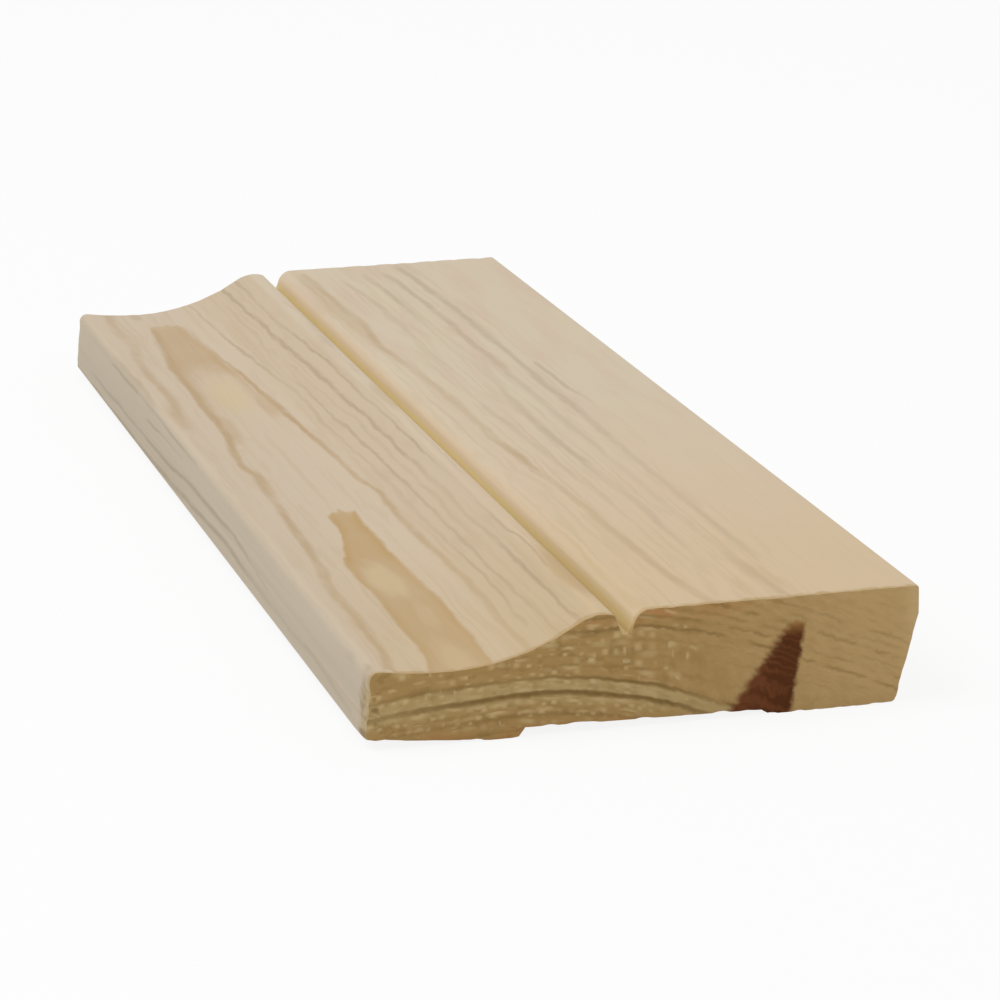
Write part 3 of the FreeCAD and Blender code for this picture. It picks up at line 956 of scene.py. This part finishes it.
def colour_near_arris(tree, colour, place, along, across, up):
    """The near end's arris: a painted amber highlight along its broken edge, with brown lumps and pits at
    the thin edge.
    """
    # Painted highlight: an amber band along the near arris, on the edge the mesh breaks.
    highlight_reach = plus(tree, along, cloud(tree, place, (2.0, 2.0, 2.0), start=4.0), -2.4)
    colour = tint(tree, ease(tree, highlight_reach, 0.5, -0.9, high=0.75), colour, ARRIS_HIGHLIGHT_AMBER)
    torn = cloud(tree, place, (4.0, 1.8, 1.8), start=5.2)
    to_torn = plus(tree, along, torn, 4.0)
    torn_away = product(tree, ease(tree, across, 3.0, 1.2), ease(tree, to_torn, 9.0, 4.5),
                        ease(tree, up, 12.0, 9.5, low=0.35))
    lumps = ease(tree, cloud(tree, place, (3.0, 1.6, 1.7), start=6.4), 0.35, 0.65)
    torn_colour = tint(tree, lumps, TORN_BROWN, TORN_PALE)
    colour = tint(tree, product(tree, torn_away, 0.9), colour, torn_colour)
    pits = product(tree, torn_away, ease(tree, torn, 0.44, 0.28), 0.35)
    return tint(tree, pits, colour, PIT_DARK)


def planed_pine(places, rings, figure, streak):
    """The planed faces: pale wood with its figure, the groove, the thin edge and fine fibres."""
    material, tree = blank_material("planed_pine")
    place = use_group(tree, places)["Place"]
    along, across, up = split(tree, place)
    grain = use_group(tree, rings, Place=place)
    drawn = use_group(tree, figure, Place=place)

    colour = plain_wood(tree, place, along, across)
    colour = draw_figure(tree, colour, along, across, drawn)
    off_face = ease(tree, up, *BELOW_FACE)
    colour = tint(tree, product(tree, off_face, grain["Latewood"], grain["Depth"]), colour, LINE_TAN)
    colour = colour_groove(tree, colour, along, across, up)
    colour = colour_thin_edge(tree, colour, place, across, drawn["Edge Lines"])
    colour = colour_near_arris(tree, colour, place, along, across, up)

    fibres = cloud(tree, place, (34.0, 0.45, 0.45), detail=3.0, start=1.3)
    streaks = ease(tree, fibres, 0.25, 0.75, low=0.975, high=1.015)
    colour = tint(tree, 1.0, colour, join(tree, streaks, streaks, streaks), "MULTIPLY")
    stain = use_group(tree, streak, Place=place, Level=grain["Level"])["Streak"]
    colour = tint(tree, stain, colour, STREAK_RED)
    roughness = ease(tree, fibres, 0.3, 0.7, low=0.58, high=0.70)
    finish_surface(tree, colour, roughness, PLANED_SHINE, fibres, FIBRE_RELIEF * MM)
    return material


def torn_specks(tree, across, level, cell, half_size, start):
    """Pale fibre ends in rows along the rings, as soft blocks, each with a random lot from 0 to 1."""
    laid = join(tree, maths(tree, "DIVIDE", across, cell[0]), maths(tree, "DIVIDE", level, cell[1]), start)
    spots = tree.nodes.new("ShaderNodeTexVoronoi")
    spots.distance = "CHEBYCHEV"
    spots.inputs["Scale"].default_value = 1.0
    spots.inputs["Randomness"].default_value = 0.6
    feed(tree, spots.inputs["Vector"], laid)
    away = tree.nodes.new("ShaderNodeVectorMath")
    away.operation = "SUBTRACT"
    feed(tree, away.inputs[0], laid)
    feed(tree, away.inputs[1], spots.outputs["Position"])
    lot = split(tree, spots.outputs["Color"])
    grown = plus(tree, 0.75, lot[1], 0.7)
    block = plus(tree, 0.4, lot[2], 0.6)
    for part, side, half in zip(split(tree, away.outputs[0]), cell, half_size):
        off = maths(tree, "MULTIPLY", maths(tree, "ABSOLUTE", part), side)
        reach = maths(tree, "MULTIPLY", grown, half)
        block = maths(tree, "MULTIPLY", block, ease(tree, off, reach, maths(tree, "MULTIPLY", reach, 0.1)))
    return block, lot[0]


def end_grain(tree, place, on_rings, across, up, level, mottle):
    """Brown end grain, lighter in the thick half, with pale, dull and reddish patches."""
    lighter = ease(tree, across, *THICK_HALF)
    lighter = plus(tree, lighter, maths(tree, "SUBTRACT", mottle, 0.5), 1.3, clamp=True)
    colour = tint(tree, lighter, END_BROWN, END_LIGHT)
    in_pale_rings = product(tree, ease(tree, level, *PALE_RINGS_LOW_SIDE),
                            ease(tree, level, *PALE_RINGS_HIGH_SIDE))
    blotchy = ease(tree, cloud(tree, on_rings, (9.0, 3.2, 0.9), start=5.5), 0.35, 0.6, low=0.55)
    colour = tint(tree, product(tree, in_pale_rings, blotchy), colour, END_PALE)
    dull = cloud(tree, on_rings, (5.0, 2.4, 1.1), start=9.6)
    dull = product(tree, ease(tree, dull, 0.48, 0.32), ease(tree, across, 62.0, 45.0, low=0.06, high=0.24))
    colour = tint(tree, dull, colour, END_RING)
    near_top = product(tree, ease(tree, up, *TOP_HEIGHT), ease(tree, across, 70.0, 55.0))
    near_back = product(tree, ease(tree, up, *BACK_HEIGHT), ease(tree, across, 62.0, 55.0))
    reddish = maths(tree, "MAXIMUM", near_top, product(tree, near_back, 0.6))
    patchy = ease(tree, cloud(tree, place, (9.0, 5.0, 2.0), start=1.9), 0.35, 0.6)
    return tint(tree, product(tree, reddish, patchy, 0.8), colour, END_RED)


def end_bands(tree, place, grain, across, level):
    """The dark latewood bands: steady on the left, coming and going on the right."""
    gaps = cloud(tree, place, (9.0, 4.0, 1.6), start=2.7)
    comes_and_goes = ease(tree, gaps, 0.36, 0.60, low=0.05, high=0.85)
    right_reach = ease(tree, level, 13.0, 11.0, low=58.0, high=68.0)
    steady = ease(tree, across, right_reach, 48.0, low=0.1, high=0.85)
    shown = maths(tree, "MAXIMUM", comes_and_goes, steady)
    upper = ease(tree, level, *UPPER_RINGS)
    left_from = plus(tree, 3.0, upper, 22.0)
    left_to = plus(tree, 21.0, upper, 24.0)
    softened = product(tree, ease(tree, across, left_from, left_to, low=0.5),
                       ease(tree, across, 66.0, 76.0, low=1.0, high=0.7))
    return product(tree, grain["Latewood"], grain["Depth"], shown, softened)


def end_specks(tree, place, across, up, level, band):
    """Pale torn fibres, crowded on the left half and towards the back, and few on a dark band."""
    crowd = cloud(tree, place, (9.0, 8.0, 3.0), start=8.8)
    crowded = ease(tree, crowd, 0.3, 0.6, low=0.25, high=0.85)
    crowded = maths(tree, "ADD", crowded, ease(tree, up, 7.5, 5.5, high=0.25))
    chance = product(tree, crowded, ease(tree, across, *SPECKED_HALF))
    specks = 0.0
    for cell, half_size, start in SPECK_KINDS:
        block, lot = torn_specks(tree, across, level, cell, half_size, start)
        picked = ease(tree, maths(tree, "SUBTRACT", chance, lot), -0.02, 0.12)
        specks = maths(tree, "MAXIMUM", specks, product(tree, block, picked))
    return product(tree, specks, ease(tree, up, 1.0, 3.0), ease(tree, band, 0.1, 0.5, low=0.75, high=0.1))


def end_pits(tree, place, across, up):
    """Dark pits in the low corner beside the thin edge."""
    pitted = ease(tree, cloud(tree, place, (9.0, 1.7, 1.3), start=7.7), 0.42, 0.26)
    in_corner = product(tree, ease(tree, across, 7.0, 3.0), ease(tree, up, 10.5, 9.0))
    return product(tree, pitted, in_corner, 0.5)


def sawn_end(places, rings, streak):
    """The sawn ends: brown end grain, dark ring arcs, pale torn fibres and the dark streak."""
    material, tree = blank_material("sawn_end")
    place = use_group(tree, places)["Place"]
    along, across, up = split(tree, place)
    grain = use_group(tree, rings, Place=place)
    level = grain["Level"]
    on_rings = join(tree, along, across, level)

    mottle = cloud(tree, on_rings, (5.0, 3.0, 1.0), detail=2.0, start=4.4)
    colour = end_grain(tree, place, on_rings, across, up, level, mottle)
    band = end_bands(tree, place, grain, across, level)
    colour = tint(tree, band, colour, END_RING)
    colour = tint(tree, ease(tree, across, *THICK_ARRIS, high=0.4), colour, END_SPECK)
    specks = end_specks(tree, place, across, up, level, band)
    colour = tint(tree, specks, colour, END_SPECK)
    colour = tint(tree, end_pits(tree, place, across, up), colour, PIT_DARK)
    stained = use_group(tree, streak, Place=place, Level=level)
    stain_colour = tint(tree, stained["Bands"], STREAK_RED, STREAK_DARK)
    stain_colour = tint(tree, ease(tree, up, 13.0, 15.6), stain_colour, STREAK_TOP_BROWN)
    colour = tint(tree, product(tree, stained["Streak"], 0.97), colour, stain_colour)

    saw = cloud(tree, place, (4.0, 0.5, 5.0), detail=2.0, start=6.1)
    height = plus(tree, plus(tree, mottle, saw, 0.5), specks, 0.6)
    roughness = ease(tree, mottle, 0.3, 0.7, low=0.75, high=0.9)
    finish_surface(tree, colour, roughness, SAWN_SHINE, height, SAW_RELIEF * MM)
    return material


# Floor, light and camera

def seen_directly(tree):
    """1 for rays that come from the camera, from a gloss or through glass, and 0 for light itself."""
    path = tree.nodes.new("ShaderNodeLightPath")
    seen = maths(tree, "MAXIMUM", path.outputs["Is Camera Ray"], path.outputs["Is Glossy Ray"])
    return maths(tree, "MAXIMUM", seen, path.outputs["Is Transmission Ray"])


def make_floor():
    """A pale floor that looks white and keeps the board's soft shadow."""
    sheet = bmesh.new()
    bmesh.ops.create_grid(sheet, x_segments=1, y_segments=1, size=FLOOR_SIZE / 2)
    mesh = bpy.data.meshes.new("floor")
    sheet.to_mesh(mesh)
    sheet.free()
    material, tree = blank_material("pale_floor")
    matt = tree.nodes.new("ShaderNodeBsdfDiffuse")
    matt.inputs["Color"].default_value = FLOOR_PALE
    glow = tree.nodes.new("ShaderNodeEmission")
    glow.inputs["Color"].default_value = WHITE
    mixed = tree.nodes.new("ShaderNodeMixShader")
    feed(tree, mixed.inputs[0], maths(tree, "MULTIPLY", seen_directly(tree), FLOOR_GLOW))
    feed(tree, mixed.inputs[1], matt.outputs[0])
    feed(tree, mixed.inputs[2], glow.outputs[0])
    way_out = tree.nodes.new("ShaderNodeOutputMaterial")
    feed(tree, way_out.inputs["Surface"], mixed.outputs[0])
    mesh.materials.append(material)
    floor = bpy.data.objects.new("floor", mesh)
    bpy.context.scene.collection.objects.link(floor)


def light_room():
    """Even light from all round, which looks white to the camera."""
    world = bpy.data.worlds.new("studio")
    bpy.context.scene.world = world
    world.use_nodes = True
    tree = world.node_tree
    tree.nodes.clear()
    backdrop = tree.nodes.new("ShaderNodeBackground")
    backdrop.inputs["Color"].default_value = WHITE
    feed(tree, backdrop.inputs["Strength"], ease(tree, seen_directly(tree), 0.0, 1.0, low=ROOM_LIGHT))
    way_out = tree.nodes.new("ShaderNodeOutputWorld")
    feed(tree, way_out.inputs["Surface"], backdrop.outputs[0])


def direction(azimuth, elevation):
    """The unit vector from the board towards a place in the room."""
    return Vector((cos(elevation) * cos(azimuth), cos(elevation) * sin(azimuth), sin(elevation)))


def hang_lamp():
    """A soft square lamp aimed at the board, with its brightness as a share of full light."""
    lamp = bpy.data.lights.new("key_lamp", "AREA")
    lamp.size = LAMP_SIZE
    lamp.energy = LAMP_BRIGHTNESS * (pi * LAMP_DISTANCE) ** 2
    towards = direction(LAMP_AZIMUTH, LAMP_ELEVATION)
    holder = bpy.data.objects.new("key_lamp", lamp)
    holder.location = towards * LAMP_DISTANCE
    holder.rotation_euler = towards.to_track_quat("Z", "Y").to_euler()
    bpy.context.scene.collection.objects.link(holder)


def set_camera():
    """The camera at the photograph's place, a little rolled."""
    lens = bpy.data.cameras.new("camera")
    lens.lens = CAMERA_LENS
    lens.sensor_width = SENSOR
    lens.clip_start = CAMERA_SEES_FROM
    lens.clip_end = CAMERA_SEES_TO
    towards = direction(CAMERA_AZIMUTH, CAMERA_ELEVATION)
    holder = bpy.data.objects.new("camera", lens)
    turned = towards.to_track_quat("Z", "Y").to_matrix().to_4x4()
    place = Matrix.Translation(CAMERA_AIM + towards * CAMERA_DISTANCE)
    holder.matrix_world = place @ turned @ Matrix.Rotation(CAMERA_ROLL, 4, "Z")
    bpy.context.scene.collection.objects.link(holder)
    bpy.context.scene.camera = holder


places = board_places()
rings = annual_rings()
figure = face_figure()
streak = dark_streak()
make_board(planed_pine(places, rings, figure, streak), sawn_end(places, rings, streak))
make_floor()
light_room()
hang_lamp()
set_camera()
bpy.context.scene.view_settings.view_transform = "Standard"
